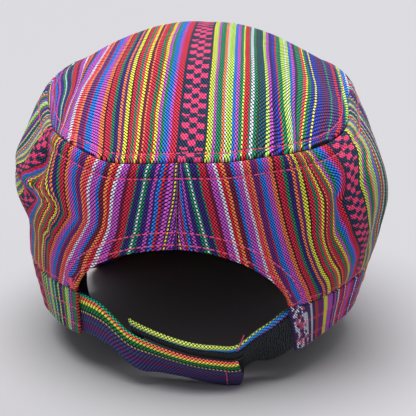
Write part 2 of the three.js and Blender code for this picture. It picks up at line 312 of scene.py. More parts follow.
def figured(dye, colour, thread, v):  # pink squares dyed into the dark threads
    sizes = figuredBand
    frayed = (dye.speckle(thread * sizes["seed"]) - 0.5) * sizes["fray"]
    row = (v / sizes["repeat"] % 1) * sizes["rows"] + frayed
    cell = dye.maths("FLOOR", row)
    oddRow = (cell % 2) > 0.5
    off = abs(thread)
    inMiddle = (off < sizes["middle"]) * oddRow
    thinRow = dye.maths("MAXIMUM", cell > 0.5, abs(row - 0.5) < sizes["thinRow"])
    inSides = (off > sizes["middle"]) * (off < sizes["side"]) * (1 - oddRow) * thinRow
    mask = dye.maths("MINIMUM", inMiddle + inSides, 1.0)
    return dye.mix(mask, colour, "pink"), mask * sizes["closeness"]  # the pink threads lie closer


def wovenCloth(name, painter, sizes=weaveSizes, sheen=0.02):
    dye = Dye(name, roughness=sizes["roughness"], sheen=sheen)
    u, v = dye.clothPlace()
    wavy = u + dye.streaks(u, v, *sizes["waver"])
    lean = -sizes["lean"]
    if "swing" in sizes:  # on the domed top the dots lean the other way from the broad teal stripe on
        lean = dye.smooth(u, *sizes["swing"]) * (2 * sizes["lean"]) + lean
    thread, height = weave(dye, wavy, v, sizes, lean)
    colour, closeness = painter(dye, thread, v)
    shade = sizes["tone"] + dye.speckle(thread) * sizes["threadTone"]
    shade = shade + dye.streaks(thread, v, *sizes["threadStreaks"])
    # Painted shading and highlight: each dot is darker at its edge and lighter at its crest, with white mixed
    # in there; in the gaps the thread's colour is darkened to painted shade and mixed with the dark gap dye.
    lit = shade * (sizes["base"] + dye.smooth(height, *sizes["bodyRange"]) * sizes["body"])
    crestHighlight = dye.smooth(height, *sizes["crestHighlightRange"]) * sizes["crestHighlight"]
    litYarn = dye.mix(crestHighlight, dye.dim(colour, lit), "white")
    shadedWeft = dye.mix(sizes["gapDye"], dye.dim(colour, shade * sizes["gapShade"]), "gap")
    dye.paint(dye.mix(dye.smooth(height + closeness, *sizes["cover"]), shadedWeft, litYarn))
    dye.relief(dye.smooth(height, *sizes["reliefRange"]), sizes["relief"], sizes["reliefDepth"])
    return dye.material


def crownPainter(dye, thread, v):
    folded = dye.maths("PINGPONG", thread - crownStart, crownTurn - crownStart) + crownStart
    return figured(dye, dye.chart(folded, crownStripes, crownStart), folded, v)


bandEnds = {
    "right": stripes(
        "11.8 plum, 1.9 white, 2.3 plum, 2.1 brick, 4.0 purple, 2.3 yellow, 4.8 violet, 1.5 navy, "
        "1.2 violet, 1.5 teal, 0.9 white, 3.0 crimson, 2.0 purple, 1.0 white, 2.0 coral, 3.6 violet, "
        "2.4 crimson, 1.2 navy, 2.0 royal, 1.2 white, 2.6 purple, 1.4 coral, 2.0 maroon"),
    "left": stripes(
        "0.3 brick, 3.2 green, 0.7 maroon, 1.4 violet, 0.6 indigo, 1.3 pale, 1.7 lime, 2.6 green, "
        "0.6 coral, 3.0 indigo, 0.9 lime, 2.8 teal, 1.2 pale, 0.8 royal, 1.6 green, 1.8 lime, "
        "1.0 pale, 1.2 violet, 2.0 green, 1.2 lime, 1.4 teal, 1.2 pale, 1.5 olive, 1.3 lime, "
        "1.0 crimson"),
}

strapStripes = {
    # Several strap stripes use lighter copies of their dyes, painted light.
    "outer": stripes(
        "3.1 royal, 2.6 brightMint, 2.1 brightCoral, 1.6 brightYellow, 2.5 emerald, 1.0 navy, "
        "1.0 mustard, 3.2 plum, 0.7 teal, 2.2 plum, 1.2 maroon, 3.0 plum, 0.8 teal, 9.0 plum"),
    "inner": stripes(
        "3.1 brightLime, 2.9 brightBlue, 1.4 brightViolet, 1.4 emerald, 2.0 indigo, 1.2 yellow, "
        "3.0 plum, 1.2 teal, 3.0 plum, 1.0 crimson, 3.0 plum, 9.0 plum"),
    # from here on the threads differ little from the gaps
    "plain": {"outer": 13.9, "inner": 12}, "closeness": 0.35,
}

print("studio and dyes set")

gap = 0.3
band = {"halfLength": 96, "halfWidth": 86.5, "height": 26, "lean": 5.5, "foot": 19, "backFlatness": 0.035,
        "leftEnd": (35.5, 38.8), "rightEnd": (34.5, 41), "thickness": 1.9}

# where the band's right end sags and tucks in
sag = {"angle": 40, "wide": 16, "foot": 3.4, "head": 2.6, "tuckAngle": 64, "tuckWide": 20, "tuck": 2.6}

crown = {"backSeam": 96, "frontSeam": 123, "dome": 36.5, "powerBack": 0.85, "powerFront": 1.4,
         "halfLength": 99, "halfWidth": 76, "cornerFullness": 0.07, "archTop": 56.5, "archPower": 0.67,
         "thickness": 1.5}

seamShape = [  # angle, out, up
    (-180, 0, 0), (-145, 5, 0), (-115, 11, 2), (-90, 8, 1), (-70, 1, 0), (-50, 0, 0), (-38, 0, -0.2),
    (-25, 0.4, -2.6), (-14, 0.2, -1.6), (0, 0, 0), (14, 0.2, 0.3), (27, 0.8, 1.5), (36, 1.4, 1.4),
    (50, 2, 0.2), (70, 2, -1), (90, 1, 0), (115, 5, 1), (145, 5, 0), (180, 0, 0)]

wallSwell = [  # angle, how far out low down, how far out near the shoulder
    (-180, 6, 10), (-135, 4, 12), (-95, 3, 19), (-68, 8, 17), (-50, 7, 13), (-36, 4, 8), (0, 2, 5),
    (36, 3, 7), (50, 14, 18), (62, 18, 28), (78, 11, 27), (95, 7, 20), (135, 6, 12), (180, 6, 10)]
swellPlace = {"low": 0.38, "high": 0.2}

wallFolds = [  # angle, level, degrees wide, share of the height, millimetres out, degrees of tilt per level
    (-80, 0.2, 26, 0.15, -5, 20), (-84, 0.48, 26, 0.18, 5, 0), (62, 0.42, 7, 0.3, -2.5, -25)]


def between(value, low=0, high=1):
    return min(max(value, low), high)


def bell(value, wide):
    return math.exp(-(value / wide) ** 2)


def bisect(test, low, high, halvings=24):  # the narrow range where a test stops being true
    for _ in range(halvings):
        middle = (low + high) / 2
        if test(middle):
            low = middle
        else:
            high = middle
    return low, high


def atAngle(table, column, angle):  # a smooth curve through one column of a table, by its first column
    last = len(table) - 1
    row = 0
    while row < last - 1 and angle > table[row + 1][0]:
        row += 1

    def slope(k):
        before, after = table[max(k - 1, 0)], table[min(k + 1, last)]
        return (after[column] - before[column]) / (after[0] - before[0])

    span = table[row + 1][0] - table[row][0]
    s = between((angle - table[row][0]) / span)
    rise = table[row + 1][column] - table[row][column]
    bendIn, bendOut = slope(row) * span - rise, slope(row + 1) * span - rise
    return table[row][column] + s * rise + s * (1 - s) * ((1 - s) * bendIn - s * bendOut)


def fromBack(angle):  # the same angle from -180 to 180
    return angle - 360 if angle > 180 else angle


@lru_cache(maxsize=None)
def seamOut(angle):
    return atAngle(seamShape, 1, angle), atAngle(seamShape, 2, angle)


@lru_cache(maxsize=None)
def swellAt(angle):
    return atAngle(wallSwell, 1, angle), atAngle(wallSwell, 2, angle)


def onRing(angle, ring, full, out, height):  # on the oval of the band or of the crown
    a = math.radians(angle)
    across, along = ring["halfWidth"] * full + out, ring["halfLength"] * full + out
    return Vector((across * math.sin(a), -along * math.cos(a), band["foot"] + height))


def diagonal(angle):
    return math.sin(2 * math.radians(angle)) ** 2


def outward(angle):
    return Vector((math.sin(math.radians(angle)), -math.cos(math.radians(angle)), 0))


def openingEnd(angle, level):
    top, foot = band["leftEnd"] if angle < 0 else band["rightEnd"]
    return foot + (top - foot) * level


def bandFullness(angle):
    return 1 - band["backFlatness"] * diagonal(angle) * (1 + math.cos(math.radians(angle))) / 2


def sagAt(angle, level):
    deep = sag["foot"] + (sag["head"] - sag["foot"]) * level
    return deep * bell(fromBack(angle) - sag["angle"], sag["wide"])


def bandPoint(angle, level, inset=0):
    full, out = bandFullness(angle), band["lean"] * min(level, 1) - inset
    out -= sag["tuck"] * bell(fromBack(angle) - sag["tuckAngle"], sag["tuckWide"]) * (1 - between(level))
    point = onRing(angle, band, full, out, band["height"] * level)
    point.z -= sagAt(angle, level)
    return point


def seamHeight(y):
    share = (y + crown["halfLength"]) / (2 * crown["halfLength"])
    return crown["backSeam"] + (crown["frontSeam"] - crown["backSeam"]) * share


def seamPoint(angle, inset=0):
    full = 1 + crown["cornerFullness"] * diagonal(angle)
    out, up = seamOut(angle)
    point = onRing(angle, crown, full, out - inset, 0)
    point.z += seamHeight(point.y) + up - inset
    return point


def topPoint(reach, angle):
    rim = seamPoint(angle, gap / 2)
    y = rim.y * reach
    forwards = (1 - math.cos(math.radians(angle))) / 2
    power = crown["powerBack"] + (crown["powerFront"] - crown["powerBack"]) * forwards
    swell = crown["dome"] * max(1 - reach ** 2, 0) ** power
    height = seamHeight(y) + seamOut(angle)[1] * reach ** 2 + swell + gap / 2
    return Vector((rim.x * reach, y, band["foot"] + height))


def foldOut(angle, level):
    total = 0
    for at, height, wide, tall, out, tilt in wallFolds:
        across, along = (angle - at - tilt * (level - height)) / wide, (level - height) / tall
        total += out * math.exp(-across ** 2 - along ** 2)
    return total * (1 - (2 * level - 1) ** 2)


def wallPoint(angle, level):
    foot, head, out = bandPoint(angle, 1), seamPoint(angle), outward(angle)
    foot.z += gap
    tall = head.z - foot.z
    swellLow, swellHigh = swellAt(angle)
    low, high = foot + out * swellLow, head + out * swellHigh
    low.z += swellPlace["low"] * tall
    high.z -= swellPlace["high"] * tall
    m = 1 - level
    point = foot * m ** 3 + low * (3 * m * m * level) + high * (3 * m * level ** 2) + head * level ** 3
    return point + out * foldOut(angle, level)


def archHeight(angle):
    share = math.sin(math.radians(angle)) / math.sin(math.radians(openingEnd(angle, 1)))
    rise = (crown["archTop"] - band["height"]) * max(1 - share ** 2, 0) ** crown["archPower"]
    return band["height"] + gap + rise - sagAt(angle, 1)


def levelAtHeight(angle, height):  # where the wall reaches a height above the band's foot
    return bisect(lambda level: wallPoint(angle, level).z < band["foot"] + height, 0.0, 1.0, 22)[1]


@lru_cache(maxsize=None)
def lowestLevel(angle):
    return 0.0 if abs(angle) >= openingEnd(angle, 1) else levelAtHeight(angle, archHeight(angle))


def peakPoint(turn, reach):
    angle = 180 + turn * peak["halfAngle"]
    length = peak["cornerWidth"] + peak["length"] * max(1 - turn ** 2, 0) ** peak["roundness"]
    forwards = outward(180 + turn * peak["halfAngle"] * peak["fan"])
    point = bandPoint(angle, 0, peak["tuck"]) + forwards * (length + peak["tuck"]) * reach
    slope = peak["middleSlope"] + peak["sideSlope"] * turn ** 2
    point.z -= gap + slope * max(length * reach - peak["tuck"], 0)
    point.z = max(point.z, peak["thickness"])
    return point


strapLine = [  # angle, out beyond the band's ellipse, height of the upper edge, lean
    (-46, 2.5, 24.4, 12.5), (-37, 2.4, 24.2, 11), (-28, 1.5, 21.5, 8), (-22, 0.5, 15.4, 9),
    (-17, 0.3, 10.4, 15), (-11, 0, 7, 28), (-3, 0, 3.4, 36), (4, 0, 0.6, 38), (11, 0, -1.4, 37),
    (19, 0.6, -2.6, 35), (25, 2, 3.5, 32), (30, 4.5, 8.5, 17), (36, 6.0, 14.4, 7), (46, 5.6, 17, 11)]

strap = {"width": 21, "turn": 3}


def strapPoint(edge, down, depth):
    lean, top = math.radians(atAngle(strapLine, 3, edge)), atAngle(strapLine, 2, edge)
    reach = min(down, (band["foot"] + top + depth * math.sin(lean)) / math.cos(lean))
    angle = edge + strap["turn"] * reach / strap["width"]
    full, beyond = bandFullness(angle), atAngle(strapLine, 1, angle)
    point = onRing(angle, band, full, beyond, top)
    point += outward(angle) * (-reach * math.sin(lean) - depth * math.cos(lean))
    point.z += -reach * math.cos(lean) + depth * math.sin(lean)
    return point


def roll(distance, radius):  # how far a turned edge sinks near its seam
    if distance >= radius:
        return 0
    return radius * (1 - math.sqrt(max(1 - (1 - distance / radius) ** 2, 0)))


def crumple(point, size, height):
    return noise.noise(Vector(point) / size) * height


# small steps along a surface that find its normal
probe = {"share": 0.01, "degrees": 0.2, "top": (-0.004, 0.3), "wall": (0.2, 0.004), "band": (0.3, 0.01),
         "strap": (0.3, 0.3), "peak": (0.004, 0.01)}


def onSurface(surface, a, b, steps, facing):  # a place and its normal, on the side that faces a direction
    here = surface(a, b)
    sideways = surface(a + steps[0], b) - here
    upwards = surface(a, b + steps[1]) - here
    normal = sideways.cross(upwards).normalized()
    return here, normal if normal.dot(facing) > 0 else -normal


edgeForm = {"segments": 3, "angle": 50}


def turnEdges(piece, wide):
    soft = piece.modifiers.new("turnedEdge", "BEVEL")
    soft.width = wide / 1000
    soft.segments = edgeForm["segments"]
    soft.limit_method = "ANGLE"
    soft.angle_limit = math.radians(edgeForm["angle"])
    bpy.ops.object.modifier_apply(modifier=soft.name)


def layCloth(name, columns, rows, pointAt, clothAt, thickness=0, edge=0):
    bpy.ops.object.select_all(action="DESELECT")
    bpy.ops.mesh.primitive_grid_add(x_subdivisions=columns, y_subdivisions=rows, size=1)
    piece = bpy.context.object
    piece.name = piece.data.name = name
    mesh = piece.data
    shares = [(vertex.co.x + 0.5, vertex.co.y + 0.5) for vertex in mesh.vertices]
    points = [pointAt(across, up) for across, up in shares]
    mesh.vertices.foreach_set("co", [c for point in points for c in metres(point)])
    layer = mesh.uv_layers.active
    layer.name = "cloth"
    places = [clothAt(across, up, point) for (across, up), point in zip(shares, points)]
    layer.uv.foreach_set("vector", [c for loop in mesh.loops for c in places[loop.vertex_index]])
    mesh.update()
    if thickness:
        solid = piece.modifiers.new("thickness", "SOLIDIFY")
        solid.thickness = thickness / 1000
        solid.offset = -1
        bpy.ops.object.modifier_apply(modifier=solid.name)
    if edge:
        turnEdges(piece, edge)
    bpy.ops.object.shade_smooth()
    return piece


def seamLift(cloth, distance, angle):  # the ridge of a turned seam, its stitched groove and its puckers
    beyond = distance - cloth["allowance"]
    lift = cloth["ridge"] * max(math.sin(math.pi * min(distance / cloth["allowance"], 1)), 0)
    lift -= cloth["stitchDip"] * bell(beyond, cloth["dipWide"]) + roll(distance, cloth["edge"])
    place = (angle * cloth["puckersPerDegree"], 0, cloth["seed"])
    pucker = crumple(place, cloth["puckerSize"], cloth["pucker"])
    return lift + pucker * bell(beyond, cloth["puckerWide"]) * min(distance / 2, 1)


def restOnTable(piece):
    for vertex in piece.data.vertices:
        vertex.co.z = max(vertex.co.z, 0)


def dress(piece, material, slot, *nodes):
    piece.data.materials.clear()
    piece.data.materials.append(material)
    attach(piece, "root")
    if nodes:
        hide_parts(*nodes)


topCloth = {"columns": 150, "allowance": 4.5, "ridge": 0.45, "stitchDip": 0.3, "dipWide": 1.1, "edge": 1.3,
            "pucker": 0.35, "puckerSize": 2.2, "puckerWide": 4, "puckersPerDegree": 1.1, "seed": 4,
            "wave": (28, 0.8), "ripple": (9, 0.18), "waveFade": 12, "foldFade": 6, "foldEnds": (0.5, 0.4),
            "warpScales": ((-60, 1.1), (-30, 0.95), (0, 0.78), (35, 0.72), (65, 0.6)), "warpReach": (-75, 80),
            "rear": -88, "rearScale": 0.78, "warpShift": 6.4, "ends": (-118, 118),
            "rim": (-72, 0.2),  # behind this line the pattern is drawn shorter
            "folds": [  # from, to in plan, width, height
                ((-60, -72), (-68, 8), 3.2, -2.6), ((-67, -66), (-76, 6), 4.5, 1.6),
                ((-53, -70), (-58, 0), 5, 0.7), ((46, -84), (38, -64), 3, -1.1),
                ((53, -80), (47, -60), 3, 0.9), ((20, -92), (24, -70), 4, 0.5)]}

# Where the warp runs on the top: cloth from the middle of the figured band, and its x in plan at each y.
topWarp = {
    "places": (-90, -75, -60, -40, -20, 0, 30, 110),
    "lines": [
        (-104, (-72, -73, -77, -82, -87, -92, -98, -100)),
        (-91.6, (-64, -66, -69.5, -73.5, -78, -82.5, -88, -90)),
        (-80.9, (-60.5, -61.5, -63.3, -66.7, -69.3, -74.3, -79.5, -82)),
        (-61.9, (-57.5, -59.2, -59.9, -59.8, -59, -58, -60, -64)),
        (-58, (-54, -54.9, -55.7, -55.3, -54.3, -53, -55, -60)),
        (-48.7, (-43.5, -45.5, -45.6, -45.2, -44.9, -44.9, -46.5, -51)),
        (-43.7, (-37.4, -39.5, -40.1, -40.5, -40.5, -39.9, -41.5, -46)),
        (-32, (-26.3, -27.8, -29, -29.9, -30.1, -30.2, -31.5, -35)),
        (-24.6, (-20.3, -21.4, -22.1, -23, -23.3, -23.6, -25, -28)),
        (-16.6, (-12, -13.1, -13.4, -14, -14.9, -15.1, -16.5, -19.5)),
        (-6.6, (-1.9, -2.6, -3.3, -4, -4.5, -4.9, -6, -9.5)), (6.6, (11.2, 10.3, 9.5, 8.5, 7.3, 6, 4.5, 2)),
        (15.2, (19.2, 18, 17, 16, 14.8, 13.6, 12, 9.5)),
        (26.8, (30.8, 30.2, 29.5, 28.2, 26.7, 25.5, 24, 21.5)),
        (33.3, (38.5, 37.8, 36.6, 35.1, 33.2, 32, 30.5, 28.5)),
        (42.7, (50, 47.8, 45.7, 44.5, 43, 42, 40.5, 38.5)), (52.7, (53, 52.6, 53, 53.6, 53.4, 52, 50, 48)),
        (57.3, (57, 57.2, 58, 59.2, 59, 57, 54.5, 52)), (63.5, (63, 63.8, 65.4, 67, 67, 66, 63.5, 61)),
        (67, (66.5, 67.7, 69.7, 71.8, 72, 71, 69, 66)), (82, (84, 85, 86, 88, 88, 87, 85, 82))]}


def topReach(across, up):
    a, b = (math.sin((2 * share - 1) * math.pi / 2) for share in (across, up))
    x, y = a * math.sqrt(1 - b * b / 2), b * math.sqrt(1 - a * a / 2)
    return min(math.hypot(x, y), 1), math.degrees(math.atan2(x, -y))


def fromLine(x, y, start, end):  # distance from a line in plan, and a share that dies out at its ends
    dx, dy = end[0] - start[0], end[1] - start[1]
    length = math.hypot(dx, dy)
    along = ((x - start[0]) * dx + (y - start[1]) * dy) / length ** 2
    across = ((x - start[0]) * dy - (y - start[1]) * dx) / length
    full, fade = topCloth["foldEnds"]
    return across, bell(max(abs(2 * along - 1) - full, 0), fade)


def topSurface(reach, angle):
    reach = min(reach, 1)
    point = topPoint(reach, angle)
    inner = max(reach - probe["share"], 0)
    inwards = (topPoint(inner, angle) - topPoint(inner + probe["share"], angle)).normalized()
    normal = inwards.cross(Vector((math.cos(math.radians(angle)), math.sin(math.radians(angle)), 0)))
    if normal.z < 0:
        normal.negate()
    distance = (seamPoint(angle, gap / 2) - point).length
    waves = crumple(point, *topCloth["wave"]) + crumple(point, *topCloth["ripple"])
    lift = seamLift(topCloth, distance, angle) + waves * min(distance / topCloth["waveFade"], 1)
    for start, end, wide, out in topCloth["folds"]:
        across, share = fromLine(point.x, point.y, start, end)
        lift += out * share * bell(across, wide) * min(distance / topCloth["foldFade"], 1)
    return point + normal * lift


@lru_cache(maxsize=None)
def domeLength(step):  # how far the cloth runs along the middle line from the front to a place
    if step > topCloth["ends"][1] + 1:
        return 0.0
    here, there = (topPoint(abs(y) / crown["halfLength"], 0 if y < 0 else 180) for y in (step, step + 1))
    return domeLength(step + 1) + (there - here).length


def topClothAt(across, up, point):
    sizes = topCloth
    crossings = []
    for cloth, line in topWarp["lines"]:
        crossings.append((atAngle(list(zip(topWarp["places"], line)), 1, point.y), cloth))
    u = atAngle(crossings, 1, point.x)
    y = between(point.y, *sizes["ends"])
    step = math.floor(y)
    length = domeLength(step) * (1 - y + step) + domeLength(step + 1) * (y - step)
    length += max(length - domeLength(sizes["rim"][0]), 0) * sizes["rim"][1]
    rear = domeLength(sizes["rear"])
    scale = atAngle(sizes["warpScales"], 1, between(point.x, *sizes["warpReach"]))
    return u, (rear - length) * scale - rear * sizes["rearScale"] - sizes["warpShift"]


def makeTop(material):
    piece = layCloth("topPanel", topCloth["columns"], topCloth["columns"],
                     lambda across, up: topSurface(*topReach(across, up)), topClothAt, crown["thickness"])
    dress(piece, material, "striped_top", "top_panel")
    print("top laid")


# Where the warp runs on the walls: how much cloth lies between the figured band and a place, towards the
# back seam, and the angle of that place at each level above the band seam.
rightWarp = {
    "coarse": (1, 0.75, 0.5, 0.25, 0),
    "fine": (1, 0.86, 0.76, 0.67, 0.6, 0.5, 0.4, 0.25, 0.1, 0),
    "lines": [
        (105, (-14, -13, -11.5, -9, -6)), (84.2, (-2.2, -1, 0.5, 3, 6)), (81, (-0.6, 0.6, 2.4, 5, 8)),
        (74.3, (2.1, 4.4, 7.2, 10.5, 14.5)), (68.1, (7.2, 8.8, 11.2, 14, 17.5)),
        (61.9, (11.1, 13.5, 15.6, 18.2, 22)), (55.3, (17, 18.6, 20.4, 23, 27)),
        (51.4, (19.8, 20.9, 23.1, 25.8, 33)), (47.7, (22.2, 23.4, 25.2, 28.2, 35.7)),
        (42.1, (25.7, 26.7, 28.5, 31.8, 38.1)), (37, (28.9, 29.7, 31.5, 35.4, 42.3)),
        (31.7, (32.7, 33.5, 35, 38.6, 46)),
        (25.2, (36.3, 37.7, 38.1, 38.4, 38.7, 39.1, 39.6, 42.3, 47.4, 50.6)),
        (17.9, (39.2, 40.8, 42, 42.9, 43.1, 43, 43.2, 46.2, 51.8, 55.8)),
        (9.8, (42, 44, 45.6, 47, 47, 46.5, 46.9, 51.2, 56, 59)),
        (4, (47.2, 49.4, 50.7, 49.8, 47.9, 48.3, 50.4, 54.2, 58, 61)),
        (0, (50.5, 51.9, 51.9, 51, 49.8, 50.5, 51.8, 56.4, 60.5, 62.5)),
        (-13.2, (64.9, 60.5, 57.2, 55.6, 56.4, 57.7, 59, 62.2, 66, 68)),
        (-20.6, (70.3, 65.5, 60.8, 60.3, 60.9, 61.8, 62.6, 65, 69.5, 71.5)), (-40, (82, 74, 71, 75, 81)),
        (-70, (98, 93, 90, 93, 98)), (-215, (180, 180, 180, 180, 180))]}

leftWarp = {
    "coarse": (1, 0.75, 0.6, 0.53, 0.48, 0.25, 0),
    "fine": (1, 0.75, 0.66, 0.6, 0.57, 0.545, 0.52, 0.49, 0.45, 0.34, 0.25, 0),
    "lines": [
        (105, (-11, -10.5, -9.5, -9, -8.7, -6, -3)), (84.9, (1, 1.2, 2.2, 2.8, 3.2, 5.5, 9)),
        (81, (4.6, 6, 6.4, 6.8, 7, 9, 12)), (74.3, (9.9, 11.1, 11.8, 12.2, 12.5, 15.5, 20)),
        (70, (13.1, 13.8, 14.6, 15.2, 15.5, 18.5, 23)), (68.1, (14.4, 15.3, 15.8, 16.1, 16.4, 19.5, 24.5)),
        (61.9, (18.9, 20.7, 20.8, 21, 21.2, 25.8, 31)), (59, (22.2, 23.4, 22.8, 23, 23.3, 29.4, 37.8)),
        (55.3, (25.2, 26.4, 25.7, 25.7, 26, 32.4, 40)), (51.4, (27.9, 29.4, 28.6, 28.4, 28.7, 35.1, 42.3)),
        (47.7, (31.2, 32.7, 31.2, 30.7, 30.8, 37.8, 44.4)),
        (42.1, (35.7, 35.7, 34.2, 33.6, 33.4, 40.8, 47.4)), (37, (39.3, 38.4, 36.9, 36.2, 36, 43.5, 49.5)),
        (31.7, (43.5, 42.3, 40.3, 39, 38.6, 46.5, 52)),
        (25.3, (47.7, 47.4, 47, 45.4, 43.5, 42, 41.1, 41, 41.8, 45, 49.8, 55)),
        (17.9, (50.5, 49.4, 50, 50, 48.5, 45.8, 44.2, 44.4, 45.8, 50.3, 54.5, 59)),
        (9.5, (52, 50.8, 52.6, 55, 55, 52, 48.8, 48, 49.5, 54.4, 58, 63)),
        (5.2, (53, 51.5, 54, 57.6, 58.4, 56.5, 52, 50.2, 51.6, 57.3, 61, 66)),
        (0, (54.5, 52.7, 56, 60, 61.6, 60.4, 55.5, 52.2, 53.5, 61, 66, 70)),
        (-13.2, (59, 60, 63.5, 67.5, 70, 70.5, 66, 62, 62.5, 73, 80, 84)),
        (-16, (60, 61.5, 65, 69.5, 72, 72.7, 68, 64, 65, 76, 83, 87)),
        (-40, (72, 76, 78.5, 80.5, 81.5, 82, 81.5, 81.5, 83, 89.5, 94, 98)),
        (-60, (86, 90, 93, 95, 96, 103, 109)), (-215, (180, 180, 180, 180, 180, 180, 180))]}

wallCreases = [  # angle, level, degrees wide, share of the height, millimetres out, rise per degree
    (-52, 0.76, 2.4, 0.2, -3.4, 0), (-57.5, 0.72, 4, 0.2, 2.4, 0), (-70, 0.505, 15, 0.045, -3.6, 0),
    (-66, 0.58, 10, 0.06, 1.6, 0), (-34, 0.55, 3, 0.35, -0.9, 0), (48.4, 0.56, 2.3, 0.24, -2.6, 0),
    (44.2, 0.55, 3, 0.25, 1.1, 0), (54, 0.5, 5, 0.3, 1.2, 0), (31, 0.9, 2.2, 0.16, -1.0, 0),
    (39, 0.35, 4, 0.3, 0.8, 0), (66, 0.3, 5, 0.2, -1.5, 0.004), (-45, 0.3, 5, 0.25, 1.0, 0)]

sideCloth = {"columns": 280, "rows": 80, "archShare": 0.4, "allowance": 7, "ridge": 0.5, "stitchDip": 0.35,
             "dipWide": 1.2, "edge": 1.2, "pucker": 0.4, "puckerSize": 2.4, "puckerWide": 5,
             "puckersPerDegree": 1.2, "seed": 9, "wave": (24, 0.9), "ripple": (8, 0.2), "waveFade": 12,
             "footFade": 0.15, "footRoll": (1.0, 0.6), "backRoll": (1.1, 0.8), "rowSpread": 0.5,
             "warpScale": 1.19, "lengthSteps": 16, "turned": 0.4}


@lru_cache(maxsize=None)
def warpLines(right):  # at each fine level, the angle of every charted line
    warp = rightWarp if right else leftWarp
    found = []
    for level in reversed(warp["fine"]):
        line = []
        for cloth, angles in warp["lines"]:
            levels = warp["fine"] if len(angles) == len(warp["fine"]) else warp["coarse"]
            line.append((atAngle(list(zip(levels, angles))[::-1], 1, level), cloth))
        found.append((level, line))
    return found


@lru_cache(maxsize=None)
def warpAt(angle):  # cloth between the figured band and this angle, at each level
    return [(level, atAngle(line, 1, abs(angle))) for level, line in warpLines(angle >= 0)]


def wallClothU(angle, level):
    return -figuredBand["width"] / 2 - atAngle(warpAt(angle), 1, level)


def creaseOut(angle, level):
    total = 0
    for at, height, wide, tall, out, rise in wallCreases:
        total += out * bell(angle - at, wide) * bell(level - height - rise * (angle - at), tall)
    return total


def wallSurface(angle, level):
    sizes = sideCloth
    level = between(level)
    point = wallPoint(angle, level)
    upper = min(level + probe["share"], 1)
    upwards = wallPoint(angle, upper) - wallPoint(angle, upper - probe["share"])
    sideways = wallPoint(angle + probe["degrees"], level) - wallPoint(angle - probe["degrees"], level)
    distance = (seamPoint(angle) - point).length
    height = max(point.z - bandPoint(angle, 1).z, 0)
    footRadius, footShare = sizes["footRoll"]
    lift = seamLift(sizes, distance, angle) - roll(height, footRadius) * footShare
    fade = min(distance / sizes["waveFade"], 1) * min(height / sizes["waveFade"] + sizes["footFade"], 1)
    waves = crumple(point, *sizes["wave"]) + crumple(point, *sizes["ripple"])
    lift += fade * (waves + creaseOut(angle, level))
    if abs(angle) < 90:
        radius, share = sizes["backRoll"]
        lift -= roll(abs(point.x), radius) * share
    return point + sideways.cross(upwards).normalized() * lift


@lru_cache(maxsize=None)
def wallLengths(angle):  # how much cloth lies below each of some levels
    steps = sideCloth["lengthSteps"]
    points = [wallPoint(angle, k / steps) for k in range(steps + 1)]
    found = [0.0]
    for a, b in zip(points, points[1:]):
        found.append(found[-1] + (b - a).length)
    return found


def wallAngle(side, share):  # share is 0 at the back seam and 1 at the front seam
    end = openingEnd(side, 1)
    arch = sideCloth["archShare"]
    if share < arch:
        return side * math.sin(math.radians(90 * share / arch)) * end
    return side * (end + (180 - end) * (share - arch) / (1 - arch))


def makeSide(side, name, node, material):
    def place(across, up):
        angle = round(wallAngle(side, across if side > 0 else 1 - across), 4)
        start = lowestLevel(angle)
        spread = up - sideCloth["rowSpread"] * math.sin(2 * math.pi * up) / (2 * math.pi)
        return angle, start + (1 - start) * spread

    def pointAt(across, up):
        point = wallSurface(*place(across, up))
        point.x = side * max(abs(point.x), gap / 2)
        return point

    def clothAt(across, up, point):
        angle, level = place(across, up)
        lengths = wallLengths(angle)
        along = level * sideCloth["lengthSteps"]
        k = min(int(along), sideCloth["lengthSteps"] - 1)
        run = lengths[k] + (lengths[k + 1] - lengths[k]) * (along - k)
        return wallClothU(angle, level), (run - lengths[-1]) * sideCloth["warpScale"]

    piece = layCloth(name, sideCloth["columns"], sideCloth["rows"], pointAt, clothAt, crown["thickness"],
                     sideCloth["turned"])
    dress(piece, material, "striped_side", node)
    print(name, "laid")


bandCloth = {"columns": 300, "rows": 20, "wave": (16, 0.5), "waveFade": 4, "waveAtEdge": 0.3,
             "edgeRoll": (1.1, 0.7), "turned": 0.55, "length": 460.0, "warpScale": 1.19, "chartShift": 260,
             "rightRun": 58.7, "leftRun": 36.3, "blotted": (1.2, 10.4), "blotWide": 1.28, "blotTall": 2.4,
             "blotSeeds": (5.3, 3.7, 11.3), "plumShare": 0.42, "roseShare": 0.62}

# The sweatband is coloured near black, partly its own colour and partly painted shade; its end bends in and
# rises into the dark corner inside the opening.
sweatCloth = {"columns": 260, "rows": 14, "thickness": 1.2, "turned": 0.3, "height": 31, "foot": 1,
              "length": 440, "inset": 2, "wave": (9, 0.15), "startAngle": 50, "endAngle": 321.5,
              "bentFrom": 304, "bentIn": 7.5, "raised": 6.5}


def bandSurface(angle, level):
    point = bandPoint(angle, level)
    edge = max(min(level, 1 - level) * band["height"], 0)
    radius, share = bandCloth["edgeRoll"]
    fade = min(edge / bandCloth["waveFade"] + bandCloth["waveAtEdge"], 1)
    return point + outward(angle) * (crumple(point, *bandCloth["wave"]) * fade - roll(edge, radius) * share)


def bandAngle(across, up):
    start, end = openingEnd(1, up), 360 - openingEnd(-1, up)
    return start + (end - start) * across


